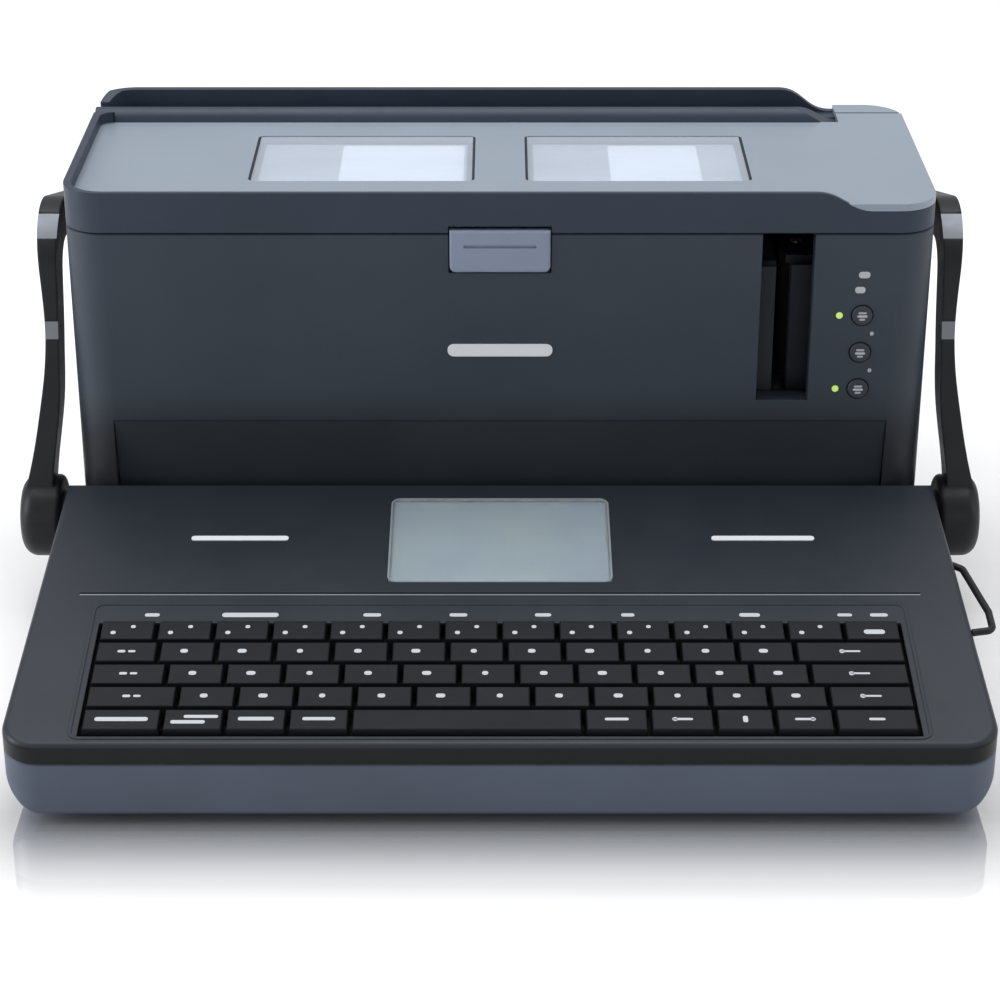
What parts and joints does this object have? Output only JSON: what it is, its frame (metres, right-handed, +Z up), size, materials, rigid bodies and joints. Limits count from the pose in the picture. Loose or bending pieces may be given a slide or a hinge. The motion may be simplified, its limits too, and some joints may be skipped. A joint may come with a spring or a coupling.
{
  "type": "label maker",
  "caption": "Desktop label printer with a slanted keyboard, display, hinged lid over tape cassettes, exit slot and carrying bail.",
  "frame": {"origin": "middle of the bounding box at the underside of the feet", "axes": "+X to the right, +Y to the back, +Z up"},
  "size_m": [0.349, 0.3282, 0.1645],
  "materials": {
    "case": "satin, fine moulded grain",
    "deck": "satin, fine moulded grain",
    "plinth": "semi gloss",
    "lid": "satin",
    "silver": "pearl satin",
    "window": "clear tinted",
    "clear": "clear hard-coated",
    "display": "liquid crystal grey",
    "latch": "satin",
    "key": "fine matt",
    "button": "satin",
    "light": "translucent green",
    "bail": "satin black",
    "bar": "powder coated",
    "rubber": "matt",
    "steel": "plated",
    "brass": "machined",
    "gear": "natural acetal",
    "inner": "matt",
    "cassette": "light moulded",
    "tape": "wound film",
    "head": "machined",
    "board": "solder mask",
    "battery": "shrink wrap"
  },
  "bodies": {
    "base": {"bail_pivots": "steel", "base_tray": "case", "battery_pack": "battery", "button_board": "board", "case_screws": "steel", "cassette_bay": "inner", "cassette_left": "cassette", "cassette_right": "cassette", "corner_cap": "silver", "cutter_frame": "inner", "display_panel": "display", "display_window": "clear", "feed_motor": "steel", "feet": "rubber", "front_cover": "case", "front_plinth": "plinth", "hinge_strip": "lid", "key_membrane": "rubber", "keyboard_board": "board", "keyboard_deck": "deck", "lid_hinge_pins": "steel", "main_board": "board", "mechanism_plate": "steel", "platen_bracket": "steel", "power_socket": "inner", "print_head": "head", "rear_cover": "case", "socket_panel": "inner", "status_lights": "light", "strap_loop": "bail", "tape_roll_left": "tape", "usb_socket": "steel"},
    "lid": {"lid_frame": "lid", "lid_panel": "silver", "lid_windows": "window"},
    "latch": {"lid_latch": "latch"},
    "power_button": {"power_button": "button"},
    "feed_button": {"feed_button": "button"},
    "wireless_button": {"wireless_button": "button"},
    "bottom_keys_left": {"bottom_keys_left": "key"},
    "space_bar": {"space_bar": "key"},
    "bottom_keys_right": {"bottom_keys_right": "key"},
    "lower_letter_keys": {"lower_letter_keys": "key"},
    "middle_letter_keys": {"middle_letter_keys": "key"},
    "upper_letter_keys": {"upper_letter_keys": "key"},
    "number_keys": {"number_keys": "key"},
    "bail": {"bail_arm_left": "bail", "bail_arm_right": "bail", "bail_bar": "bar", "bail_grip": "rubber", "bail_bands": "steel"},
    "platen": {"platen_roller": "rubber", "platen_shaft": "steel", "platen_gear": "gear"},
    "idler": {"idler_gear": "gear"},
    "pinion": {"motor_pinion": "brass"},
    "roll": {"tape_roll_right": "tape", "drive_post": "inner"},
    "cutter": {"cutter_blade": "steel"},
    "battery_door": {"battery_door": "case"}
  },
  "joints": [
    {"name": "lid_hinge", "type": "hinge", "parent": "base", "child": "lid", "pos_m": [0, 0.0799, 0.156], "axis": [-1, 0, 0], "range_deg": [0, 75]},
    {"name": "latch_push", "type": "slide", "parent": "base", "child": "latch", "axis": [0, 1, 0], "range_m": [0, 0.0015], "stiffness_N_per_m": 300, "springref_m": -0.001},
    {"name": "power_button_push", "type": "slide", "parent": "base", "child": "power_button", "axis": [0, 1, 0], "range_m": [0, 0.001], "stiffness_N_per_m": 200, "springref_m": -0.001},
    {"name": "feed_button_push", "type": "slide", "parent": "base", "child": "feed_button", "axis": [0, 1, 0], "range_m": [0, 0.001], "stiffness_N_per_m": 200, "springref_m": -0.001},
    {"name": "wireless_button_push", "type": "slide", "parent": "base", "child": "wireless_button", "axis": [0, 1, 0], "range_m": [0, 0.001], "stiffness_N_per_m": 200, "springref_m": -0.001},
    {"name": "bottom_keys_left_push", "type": "slide", "parent": "base", "child": "bottom_keys_left", "axis": [0, 0.1543, -0.988], "range_m": [0, 0.0018], "stiffness_N_per_m": 400, "springref_m": -0.001},
    {"name": "space_bar_push", "type": "slide", "parent": "base", "child": "space_bar", "axis": [0, 0.1543, -0.988], "range_m": [0, 0.0018], "stiffness_N_per_m": 400, "springref_m": -0.001},
    {"name": "bottom_keys_right_push", "type": "slide", "parent": "base", "child": "bottom_keys_right", "axis": [0, 0.1543, -0.988], "range_m": [0, 0.0018], "stiffness_N_per_m": 400, "springref_m": -0.001},
    {"name": "lower_letter_keys_push", "type": "slide", "parent": "base", "child": "lower_letter_keys", "axis": [0, 0.1543, -0.988], "range_m": [0, 0.0018], "stiffness_N_per_m": 400, "springref_m": -0.001},
    {"name": "middle_letter_keys_push", "type": "slide", "parent": "base", "child": "middle_letter_keys", "axis": [0, 0.1543, -0.988], "range_m": [0, 0.0018], "stiffness_N_per_m": 400, "springref_m": -0.001},
    {"name": "upper_letter_keys_push", "type": "slide", "parent": "base", "child": "upper_letter_keys", "axis": [0, 0.1543, -0.988], "range_m": [0, 0.0018], "stiffness_N_per_m": 400, "springref_m": -0.001},
    {"name": "number_keys_push", "type": "slide", "parent": "base", "child": "number_keys", "axis": [0, 0.1543, -0.988], "range_m": [0, 0.0018], "stiffness_N_per_m": 400, "springref_m": -0.001},
    {"name": "bail_swing", "type": "hinge", "parent": "base", "child": "bail", "pos_m": [0, -0.0081, 0.034], "axis": [1, 0, 0], "range_deg": [0, 75]},
    {"name": "platen_spin", "type": "hinge", "parent": "base", "child": "platen", "pos_m": [0.1065, 0.0169, 0.08], "axis": [0, 0, 1], "continuous": true},
    {"name": "idler_spin", "type": "hinge", "parent": "base", "child": "idler", "pos_m": [0.1205, 0.03439, 0.068], "axis": [0, 0, 1], "continuous": true},
    {"name": "pinion_spin", "type": "hinge", "parent": "base", "child": "pinion", "pos_m": [0.1205, 0.05119, 0.068], "axis": [0, 0, 1], "continuous": true},
    {"name": "roll_spin", "type": "hinge", "parent": "base", "child": "roll", "pos_m": [0.04, 0.0329, 0.1], "axis": [0, 0, 1], "continuous": true},
    {"name": "cutter_stroke", "type": "slide", "parent": "base", "child": "cutter", "axis": [-1, 0, 0], "range_m": [0, 0.012]},
    {"name": "battery_door_hinge", "type": "hinge", "parent": "base", "child": "battery_door", "pos_m": [-0.119, 0.0937, 0.011], "axis": [-1, 0, 0], "range_deg": [0, 95]}
  ],
  "couplings": [
    {"joint": "platen_spin", "follows": "roll_spin", "ratio": 3.8333},
    {"joint": "idler_spin", "follows": "roll_spin", "ratio": -3.3222},
    {"joint": "pinion_spin", "follows": "roll_spin", "ratio": 8.3056}
  ]
}
